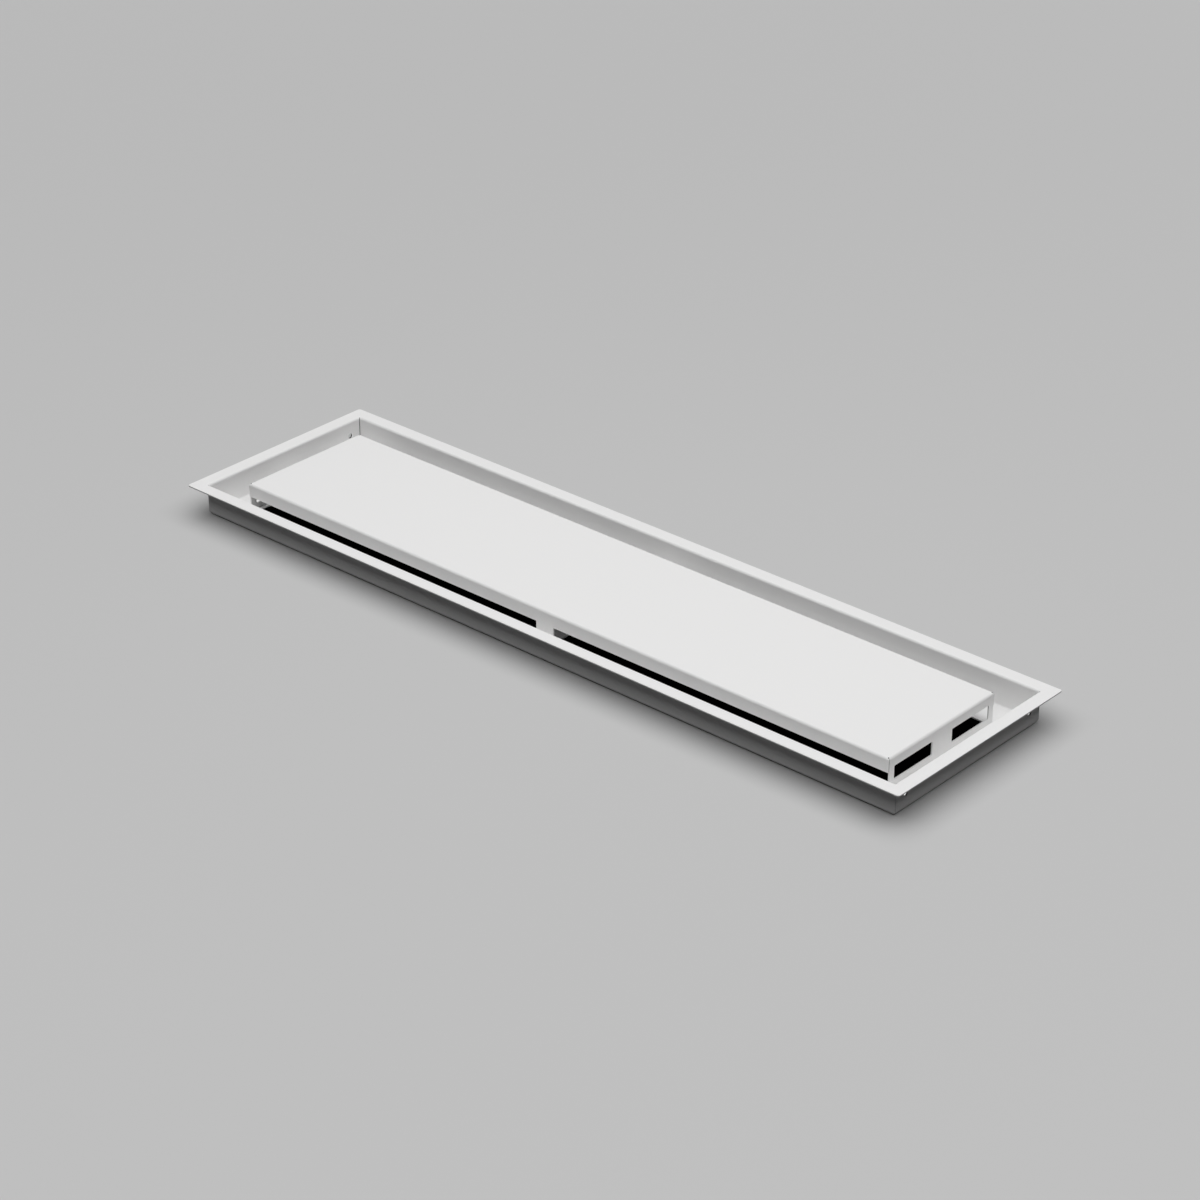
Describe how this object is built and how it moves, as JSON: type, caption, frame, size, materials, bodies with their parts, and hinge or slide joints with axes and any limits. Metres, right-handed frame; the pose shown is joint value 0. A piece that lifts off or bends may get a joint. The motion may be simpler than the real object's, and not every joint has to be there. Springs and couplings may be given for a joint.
{
  "type": "ceiling vent cover",
  "caption": "Long rectangular ceiling vent cover: folded sheet tray with a thin flange and a flush raised panel that lets air out all round it.",
  "frame": {"origin": "centre of the tray's underside", "axes": "+X along the long sides, +Z from the underside towards the visible face, which faces the room"},
  "size_m": [0.663, 0.18, 0.0236],
  "materials": {
    "tray_coat": "fine white powder coat",
    "cover_coat": "fine white powder coat"
  },
  "bodies": {
    "root": {"frame_tray": "tray_coat", "cover_panel": "cover_coat"}
  },
  "joints": []
}
